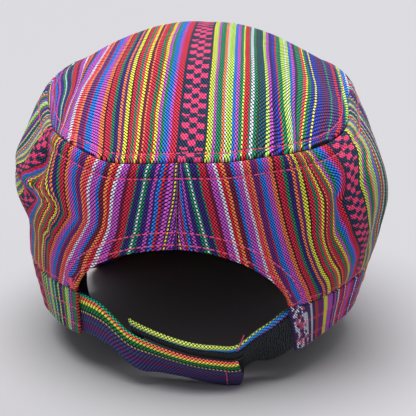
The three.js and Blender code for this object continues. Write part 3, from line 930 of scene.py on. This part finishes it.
def bandPainter(dye, thread, v):
    sizes = bandCloth
    colour, _ = crownPainter(dye, thread - sizes["chartShift"], v)
    right = dye.chart(thread, bandEnds["right"], 0.0)
    columnSeed, rowFactor, columnFactor = sizes["blotSeeds"]
    column = dye.maths("FLOOR", thread / sizes["blotWide"])
    row = dye.maths("FLOOR", v / sizes["blotTall"] + dye.speckle(column * columnSeed))
    blot = dye.speckle(row * rowFactor + column * columnFactor)
    light = dye.mix(blot > sizes["roseShare"], "rose", "white")
    blotch = dye.mix(blot > sizes["plumShare"], "plum", light)
    start, end = sizes["blotted"]
    right = dye.mix((thread > start) * (thread < end), right, blotch)
    left = dye.chart(sizes["length"] - thread, bandEnds["left"], 0.0)
    colour = dye.mix(thread < sizes["rightRun"], colour, right)
    return dye.mix(thread > sizes["length"] - sizes["leftRun"], colour, left), 0.0


def makeBand(material):
    tall = band["height"] * bandCloth["warpScale"]
    piece = layCloth("headband", bandCloth["columns"], bandCloth["rows"],
                     lambda across, up: bandSurface(bandAngle(across, up), up),
                     lambda across, up, point: (across * bandCloth["length"], up * tall),
                     band["thickness"], bandCloth["turned"])
    dress(piece, material, "striped_band", "headband")
    print("headband laid")


# The swell is painted shading: the tape's weave is lighter where it stands higher.
tape = {"roughness": 0.9, "sheen": 0.1, "tone": 0.6, "swell": 0.7, "mottle": (0.7, 0.7, 0.5), "relief": 0.6,
        "reliefDepth": 0.0002, "sweatRib": 0.8, "hookRib": 0.9, "hookEdge": 1.3}


def plainTape(name, base, rib, edgeDye=None, edge=0.0):  # a plain weave, whose back edge may show another dye
    dye = Dye(name, roughness=tape["roughness"], sheen=tape["sheen"])
    u, v = dye.clothPlace()
    across = abs((u / rib) % 1 - 0.5) * 2
    along = abs((v / rib + dye.maths("FLOOR", u / rib) * 0.5) % 1 - 0.5) * 2
    height = dye.maths("MINIMUM", across, along)
    # Painted shading: lighter where the weave stands higher.
    shade = tape["tone"] + height * tape["swell"] + dye.streaks(u, v, *tape["mottle"])
    dye.paint(dye.dim(dye.mix(u < edge, base, edgeDye or base), shade))
    dye.relief(height, tape["relief"], tape["reliefDepth"])
    return dye.material


# The light range sets where the ridges' crests take a painted highlight.
pile = {"roughness": 0.95, "sheen": 0.08, "ridge": 0.95, "wander": (0.5, 0.35, 2.2), "curls": (2.1, 3.4, 1.0),
        "light": (0.18, 0.56), "relief": 0.8, "reliefDepth": 0.0004, "hairs": 300, "hairLength": (0.5, 1.7),
        "hairRadius": 0.09, "hairTaper": 0.7, "hairRings": 4, "hairCorners": (0, 2.1, 4.2), "hairSunk": 0.3,
        "hairSeed": (1.37, 3.1, 0.5), "hairLean": (0.7, 0.5), "hairOut": (0.5, 0.7), "hairBend": (0.5, 0.6)}


# The ridges' crests are painted lighter, a painted highlight.
def pileMaterial():  # brushed loops in ridges that run down the tape
    dye = Dye("loopPile", roughness=pile["roughness"], sheen=pile["sheen"])
    u, v = dye.clothPlace()
    wavy = v / pile["ridge"] + dye.streaks(u, v, *pile["wander"])
    height = abs(wavy % 1 - 0.5) + dye.streaks(u, v, *pile["curls"])
    dye.paint(dye.mix(dye.smooth(height, *pile["light"]), "pileDark", "pileLight"))
    dye.relief(height, pile["relief"], pile["reliefDepth"])
    return dye.material


def addHairs(made, piece):  # loose fibres along the lower edge
    shape = bmesh.new()
    shape.from_mesh(made.data)
    start, end = piece["angles"]
    low, high = pile["hairLength"]
    alongSeed, perChance, seed = pile["hairSeed"]
    (lean, leanMiddle), (out, outMiddle) = pile["hairLean"], pile["hairOut"]
    bendAcross, bendOut = pile["hairBend"]
    last, sides = pile["hairRings"] - 1, len(pile["hairCorners"])
    for number in range(pile["hairs"]):
        spots = (Vector((number * alongSeed, k * perChance, seed)) for k in range(3))
        first, second, third = (noise.cell(spot) for spot in spots)
        edge = start + (end - start) * (number + first) / pile["hairs"]
        depth = piece["depth"] + piece["thickness"] * second
        root = strapPoint(edge, strapRim(piece, edge)[0] - pile["hairSunk"], depth)
        length = low + (high - low) * third * second
        curve = Vector((lean * (first - leanMiddle), out * (second - outMiddle), -1)).normalized() * length
        bent = Vector((third - bendAcross, first - bendOut, 0)) * length
        rings = []
        for share in (k / last for k in range(last + 1)):
            centre = root + curve * share + bent * share * share
            radius = pile["hairRadius"] * (1 - pile["hairTaper"] * share)
            ring = [centre + Vector((math.cos(a), math.sin(a), 0)) * radius for a in pile["hairCorners"]]
            rings.append([shape.verts.new(metres(corner)) for corner in ring])
        for lower, upper in zip(rings, rings[1:]):
            for k in range(sides):
                shape.faces.new((lower[k], upper[k], upper[(k + 1) % sides], lower[(k + 1) % sides]))
        shape.faces.new(rings[0])
        shape.faces.new(reversed(rings[-1]))
    bmesh.ops.recalc_face_normals(shape, faces=shape.faces)
    shape.to_mesh(made.data)
    shape.free()


def makeSweatband(material):
    sizes = sweatCloth
    start, end, bentFrom = sizes["startAngle"], sizes["endAngle"], sizes["bentFrom"]

    def pointAt(across, up):
        angle = start + (end - start) * across
        share = between((angle - bentFrom) / (end - bentFrom))
        bent = share * share * (3 - 2 * share)
        level = (sizes["foot"] + (sizes["height"] + sizes["raised"] * bent) * up) / band["height"]
        point = bandPoint(angle, level, sizes["inset"] + gap + sizes["bentIn"] * bent)
        return point + outward(angle) * crumple(point, *sizes["wave"])

    piece = layCloth("sweatband", sizes["columns"], sizes["rows"], pointAt,
                     lambda across, up, point: (across * sizes["length"], up * sizes["height"]),
                     sizes["thickness"], sizes["turned"])
    dress(piece, material, "sweatband_cloth", "sweatband")
    print("sweatband laid")


peak = {"halfAngle": 64, "fan": 0.5, "length": 50, "cornerWidth": 3, "roundness": 0.8, "tuck": 3,
        "thickness": 3, "middleSlope": 0.27, "sideSlope": 0.7, "columns": 170, "rows": 44, "turned": 1.1,
        "clothShift": 22, "stitchRows": (3.5, 9.5, 15.5, 21.5), "rowEnds": 88, "shortest": 4}


def makePeak(material):
    def pointAt(across, up):
        turn = math.sin(math.radians(90 - 180 * across))
        return peakPoint(turn, math.sin(math.radians(90 * up)))

    piece = layCloth("peak", peak["columns"], peak["rows"], pointAt,
                     lambda across, up, point: (point.x + peak["clothShift"], point.y),
                     peak["thickness"], peak["turned"])
    restOnTable(piece)
    dress(piece, material, "striped_peak", "peak")
    print("peak laid")


# Heads and feet say how far down a strap's edges lie at an angle, and drift how far its stripes have moved
# at a share of its length.
straps = {
    "strapOuter": {
        "node": "strap_outer", "slot": "striped_strap", "angles": (-45, 19), "depth": 0, "thickness": 2,
        "turned": 0.7, "heads": ((-45, 0), (19, 0)), "feet": ((-45, 23.2), (-31, 22), (-22, 21), (19, 21)),
        "slant": 1.6, "drift": ((0, 0.8), (0.15, 2.4), (0.3, 3.3), (0.55, 4.8), (0.75, 5.6), (1, 5.7))},
    "strapInner": {
        "node": "strap_inner", "slot": "striped_strap", "angles": (-18, 45), "depth": 5.3, "thickness": 2,
        "turned": 0.7, "heads": ((-18, -3), (-8, -3.5), (8, -4.6), (16, -5.6), (26, -4.9), (45, -5)),
        "feet": ((-18, 16), (45, 16)), "slant": 0,
        "drift": ((0, -0.7), (0.4, -0.3), (0.54, 0.7), (0.64, 1.9), (0.8, 2.4), (1, 2.9))},
    "hookTape": {
        "node": "hook_tape", "slot": "hook_plastic", "angles": (-12, 21), "depth": 2.3, "thickness": 1.2,
        "turned": 0.2, "heads": ((-12, 0.4), (21, 0.4)), "feet": ((-12, 19.5), (21, 19.5)),
        "slant": 0, "drift": ((0, 0), (1, 0))},
    "loopTape": {
        "node": "loop_tape", "slot": "loop_pile", "angles": (-17, 38.5), "depth": 3.8, "thickness": 1.2,
        "turned": 0.3, "heads": ((-17, -0.9), (0, -1.8), (16, -3.3), (26, -2.6), (38.5, -2.6)),
        "feet": ((-17, 15.6), (15, 15.6), (20, 14), (24, 14.2), (30, 15.6), (38.5, 15.6)),
        "slant": 0, "drift": ((0, 0), (1, 0)), "fuzz": (0.9, 0.25)},
    "columns": 200, "faceRows": 14, "edgeRows": 2, "perDegree": 1.6, "noseAt": 0.7, "noseBack": 0.9,
    "noseLong": 0.12, "weldWithin": 0.000001,
}


def strapPainter(label):
    def painter(dye, thread, v):
        plain = thread > strapStripes["plain"][label]
        return dye.chart(thread, strapStripes[label], 0.0), plain * strapStripes["closeness"]

    return painter


def strapOutline(thick, width):  # once round: share down the face, depth, cloth from the upper back corner
    edge = [k / straps["edgeRows"] for k in range(straps["edgeRows"])]
    face = [k / straps["faceRows"] for k in range(straps["faceRows"])]
    outline = [(0, thick * (1 - share), thick * share) for share in edge]
    outline += [(share, 0, thick + width * share) for share in face]
    outline += [(1, thick * share, thick + width + thick * share) for share in edge]
    return outline + [(1 - share, thick, 2 * thick + width + width * share) for share in face + [1]]


def closeEnds(made):
    bpy.ops.object.mode_set(mode="EDIT")
    bpy.ops.mesh.select_all(action="SELECT")
    bpy.ops.mesh.remove_doubles(threshold=straps["weldWithin"])
    bpy.ops.mesh.select_all(action="DESELECT")
    bpy.ops.mesh.select_non_manifold(extend=False, use_boundary=True)
    bpy.ops.mesh.fill()
    bpy.ops.mesh.select_all(action="SELECT")
    bpy.ops.mesh.normals_make_consistent(inside=False)
    bpy.ops.object.mode_set(mode="OBJECT")
    layer, bare = made.data.uv_layers["cloth"], (0.0, 0.0)
    corners = [(loop.index, loop.vertex_index) for loop in made.data.loops]
    places = {vertex: tuple(layer.uv[loop].vector) for loop, vertex in corners
              if tuple(layer.uv[loop].vector) != bare}
    for loop, vertex in corners:  # the filled ends take their stripes from the cloth beside them
        if tuple(layer.uv[loop].vector) == bare:
            layer.uv[loop].vector = places.get(vertex, bare)


def strapRim(piece, edge):  # how far down its lower and upper edges lie
    return atAngle(piece["feet"], 1, edge), atAngle(piece["heads"], 1, edge)


def nose(share):  # the free end runs out to a blunt corner and back
    at = straps["noseAt"]
    return share / at if share < at else 1 - straps["noseBack"] * (share - at) / (1 - at)


def makeStrap(name, material):
    piece = straps[name]
    start, end = piece["angles"]
    outline = strapOutline(piece["thickness"], piece["feet"][-1][1] - piece["heads"][-1][1])
    rows = len(outline) - 1

    def pointAt(across, up):
        share, deep, _ = outline[round(up * rows)]
        edge = start + (end - start) * across
        foot, head = strapRim(piece, edge)
        edge += piece["slant"] * nose(share) * bell(1 - across, straps["noseLong"])
        point = strapPoint(edge, head + (foot - head) * share, piece["depth"] + deep)
        if "fuzz" in piece and deep == 0:
            point += outward(edge) * crumple(point, *piece["fuzz"])
        return point

    def clothAt(across, up, point):
        around = outline[round(up * rows)][2]
        return around + atAngle(piece["drift"], 1, across), across * (end - start) * straps["perDegree"]

    made = layCloth(name, straps["columns"], rows, pointAt, clothAt)
    closeEnds(made)
    turnEdges(made, piece["turned"])
    bpy.ops.object.shade_smooth()
    if "fuzz" in piece:
        addHairs(made, piece)
    restOnTable(made)
    dress(made, material, piece["slot"], piece["node"])
    print(name, "laid")


# A stitch lies along the thread; where it dives into the cloth it is slimmer and lower.
stitch = {"length": 2.5, "pitch": 3.1, "width": 0.62, "height": 0.36, "sink": 0.02}
stitchEnd = {"cut": 0.25, "past": 0.4, "slim": 0.45, "low": 0.5, "drop": 0.55}
tackStitch = dict(stitch, length=1.9, pitch=1.5, width=0.5, height=0.42)
tailStitch = dict(stitch, length=1.5, pitch=1.1, width=0.55, height=0.5)


@lru_cache(maxsize=None)
def stitchForm():  # one stitch: a slim bead with sunk ends, modelled once
    bpy.ops.object.select_all(action="DESELECT")
    bpy.ops.mesh.primitive_cylinder_add(vertices=6, radius=0.5, depth=1, rotation=(0, math.pi / 2, 0))
    bead = bpy.context.object
    bpy.ops.object.transform_apply(location=True, rotation=True, scale=True)
    bpy.ops.object.mode_set(mode="EDIT")
    for cut in (stitchEnd["cut"], -stitchEnd["cut"]):
        bpy.ops.mesh.select_all(action="SELECT")
        bpy.ops.mesh.bisect(plane_co=(cut, 0, 0), plane_no=(1, 0, 0))
    bpy.ops.object.mode_set(mode="OBJECT")
    for vertex in bead.data.vertices:
        if abs(vertex.co.x) > stitchEnd["past"]:
            vertex.co.y *= stitchEnd["slim"]
            vertex.co.z = vertex.co.z * stitchEnd["low"] - stitchEnd["drop"]
    bead.data.name = "stitchForm"
    mesh = bead.data
    bpy.data.objects.remove(bead)
    return mesh


def addStitch(made, centre, along, normal, sizes):
    side = normal.cross(along).normalized()
    upright = along.cross(side)
    axes = (along * sizes["length"], side * sizes["width"], upright * sizes["height"])
    rise = upright * (sizes["height"] * 0.5 - sizes["sink"])
    place = Matrix.Translation(centre + rise) @ Matrix(axes).transposed().to_4x4()
    before = len(made.verts)
    made.from_mesh(stitchForm())
    made.verts.ensure_lookup_table()
    for vertex in made.verts[before:]:
        vertex.co = metres(place @ vertex.co)


def sewRow(name, path, material, sizes=stitch):  # the path lists points and normals in millimetres
    made = bmesh.new()
    carried, count = 0.0, 0
    for (a, normalA), (b, normalB) in zip(path, path[1:]):
        step = (b - a).length
        while carried < step:
            share = carried / step
            normal = normalA.lerp(normalB, share).normalized()
            addStitch(made, a.lerp(b, share), (b - a).normalized(), normal, sizes)
            carried += sizes["pitch"]
            count += 1
        carried -= step
    mesh = bpy.data.meshes.new(name)
    made.to_mesh(mesh)
    made.free()
    piece = bpy.data.objects.new(name, mesh)
    bpy.context.scene.collection.objects.link(piece)
    for face in mesh.polygons:
        face.use_smooth = True
    dress(piece, material, "stitching")
    print(name, count, "stitches")


seams = {
    "topInside": 4.6, "wallBelow": 7.2,  # millimetres from the seam between top and walls
    "topSought": (0.7, 1.0), "wallSought": (0.6, 1.0),  # where the rows beside that seam are looked for
    "points": {"wall": 240, "foot": 200, "arch": 120, "band": 240, "strap": 24, "peak": 160},
    "archEdge": 2.2, "archHem": 8, "archFoot": 2.2,  # from the arch's edge, and above the band seam
    "degree": 1.75,  # of the wall, in millimetres
    "wallRun": (0.6, 179.6), "footRun": (42, 179.5), "footLevel": 0.035,  # first and last angle
    "archStep": 0.4,
    # angle and level
    "turn": ((37.6, 0.17), (39.2, 0.125), (40, 0.085), (39.4, 0.045), (37.4, 0.018), (35.4, 0.012)),
    "tack": {"angle": 36.6, "wide": 1.7, "level": 0.02, "tall": 0.055, "points": 15},
    "band": (("Low", 0.25, 40.5, 322.5), ("High", 0.62, 38.5, 323)),  # level, first and last angle
    "strapAngle": 14.5, "strapRun": (6, 18.5),
    "tailAngle": 19.9, "tailBack": 0.4, "tailDown": 2.4, "tail": ((1.0, -0.3, 3.2), (1.2, 0.2, 3.4)),
}


def evenly(count, start, end):
    return (start + (end - start) * k / count for k in range(count + 1))


def pathOn(surface, places, steps):
    return [onSurface(surface, a, b, steps, outward(a)) for a, b in places]


def wallPath(places):
    return pathOn(wallSurface, places, probe["wall"])


def topPath():
    def reachAt(angle):
        def farIn(reach):
            return (topPoint(reach, angle) - seamPoint(angle)).length > seams["topInside"]

        return sum(bisect(farIn, *seams["topSought"])) / 2

    angles = range(-180, 181)
    return [onSurface(topSurface, reachAt(angle), angle, probe["top"], upright) for angle in angles]


def underSeam(side):
    def levelAt(angle):
        def below(level):
            return (seamPoint(angle) - wallPoint(angle, level)).length > seams["wallBelow"]

        return sum(bisect(below, *seams["wallSought"])) / 2

    angles = evenly(seams["points"]["wall"], *seams["wallRun"])
    return [(side * angle, levelAt(side * angle)) for angle in angles]


def overBand(side):
    angles = evenly(seams["points"]["foot"], *seams["footRun"])
    return [(side * angle, seams["footLevel"]) for angle in angles]


def alongArch(off):  # keeps its distance from the arch's edge
    step, degree = seams["archStep"], seams["degree"]
    places = []
    for turn in evenly(seams["points"]["arch"], -90, 90):
        share = math.sin(math.radians(turn))
        angle = share * openingEnd(share, 1)
        before, after = max(angle - step, -openingEnd(-1, 1)), min(angle + step, openingEnd(1, 1))
        rise = (archHeight(after) - archHeight(before)) / (2 * step * degree)
        height = archHeight(angle) + off / math.hypot(1, rise)
        if height >= band["height"] + seams["archFoot"]:
            moved = angle - off * rise / math.hypot(1, rise) / degree
            places.append((moved, levelAtHeight(moved, height)))
    return places


def hemTurn(side):  # where the hem row turns back to the arch's edge
    places = []
    for (angle, level), (nextAngle, nextLevel) in zip(seams["turn"], seams["turn"][1:]):
        for share in (0, 0.25, 0.5, 0.75):
            places.append((side * (angle + (nextAngle - angle) * share), level + (nextLevel - level) * share))
    return places


def cornerTack(side):  # a tight zigzag that holds the arch's corner
    tack = seams["tack"]
    last = tack["points"] - 1
    return [(side * (tack["angle"] + tack["wide"] * (k % 2)), tack["level"] + tack["tall"] * k / last)
            for k in range(last + 1)]


def bandPath(level, start, end):
    places = [(angle, level) for angle in evenly(seams["points"]["band"], start, end)]
    return pathOn(bandSurface, places, probe["band"])


def strapPath():
    downs = evenly(seams["points"]["strap"], *seams["strapRun"])
    places = [(seams["strapAngle"], down) for down in downs]
    return pathOn(lambda a, b: strapPoint(a, b, straps["strapOuter"]["depth"]), places, probe["strap"])


def tailPath():  # a thread end that was left standing on the strap
    inner, edge = straps["strapInner"], seams["tailAngle"]
    rim = strapRim(inner, edge)[1]
    points = [strapPoint(edge - seams["tailBack"], rim + seams["tailDown"], inner["depth"]),
              strapPoint(edge, rim, inner["depth"])]
    for move in seams["tail"]:
        points.append(points[-1] + Vector(move))
    return [(point, outward(edge)) for point in points]


def peakPath(fromRim):
    path = []
    for degrees in evenly(seams["points"]["peak"], -peak["rowEnds"], peak["rowEnds"]):
        turn = math.sin(math.radians(degrees))
        total = (peakPoint(turn, 1) - peakPoint(turn, 0)).length
        if total >= fromRim + peak["shortest"]:
            reach = 1 - fromRim / total
            path.append(onSurface(peakPoint, turn, reach, probe["peak"], upright))
    return path


threadLook = {"roughness": 0.6, "sheen": 0.2, "grain": 900.0, "tone": 0.75, "mottle": 0.5}


def threadMaterial():
    dye = Dye("sewingThread", roughness=threadLook["roughness"], sheen=threadLook["sheen"])
    place = dye.node("ShaderNodeTexCoord", {}, {}, "Object")
    grain = dye.node("ShaderNodeTexNoise", {}, {"Vector": place, "Scale": threadLook["grain"], "Detail": 2.0})
    dye.paint(dye.dim("thread", threadLook["tone"] + grain * threadLook["mottle"]))
    return dye.material


addCamera()
addFloor()
addLight()
# The walls' cloth is painted darker than the top's, as painted shade.
shadedClothSide = wovenCloth("stripedSideShaded", crownPainter, shadedSideWeave)
makeTop(wovenCloth("stripedTop", crownPainter, topWeave, 0.05))
makeSide(1, "sidePanelRight", "side_panel_right", shadedClothSide)
makeSide(-1, "sidePanelLeft", "side_panel_left", shadedClothSide)
makeBand(wovenCloth("stripedBand", bandPainter))
makeSweatband(plainTape("sweatbandCloth", "sweatBlack", tape["sweatRib"]))
makePeak(wovenCloth("stripedPeak", crownPainter))
makeStrap("strapOuter", wovenCloth("stripedStrapOuter", strapPainter("outer"), strapWeave))
makeStrap("strapInner", wovenCloth("stripedStrapInner", strapPainter("inner"), strapWeave))
makeStrap("hookTape", plainTape("hookBase", "hookBlack", tape["hookRib"], "hookGrey", tape["hookEdge"]))
makeStrap("loopTape", pileMaterial())

pink = threadMaterial()
sewRow("stitchesTop", topPath(), pink)
for label, side in (("Right", 1), ("Left", -1)):
    sewRow("stitchesWall" + label, wallPath(underSeam(side)), pink)
    sewRow("stitchesFoot" + label, wallPath(overBand(side)), pink)
for label in ("archEdge", "archHem"):
    sewRow("stitches" + label[0].upper() + label[1:], wallPath(alongArch(seams[label])), pink)
for label, side in (("Right", 1), ("Left", -1)):
    sewRow("stitchesTurn" + label, wallPath(hemTurn(side)), pink)
sewRow("stitchesTackLeft", wallPath(cornerTack(-1)), pink, tackStitch)
sewRow("stitchesStrapTail", tailPath(), pink, tailStitch)
for label, level, start, end in seams["band"]:
    sewRow("stitchesBand" + label, bandPath(level, start, end), pink)
sewRow("stitchesStrap", strapPath(), pink)
for number, inside in enumerate(peak["stitchRows"]):
    sewRow("stitchesPeak%d" % (number + 1), peakPath(inside), pink)

bpy.context.view_layer.update()
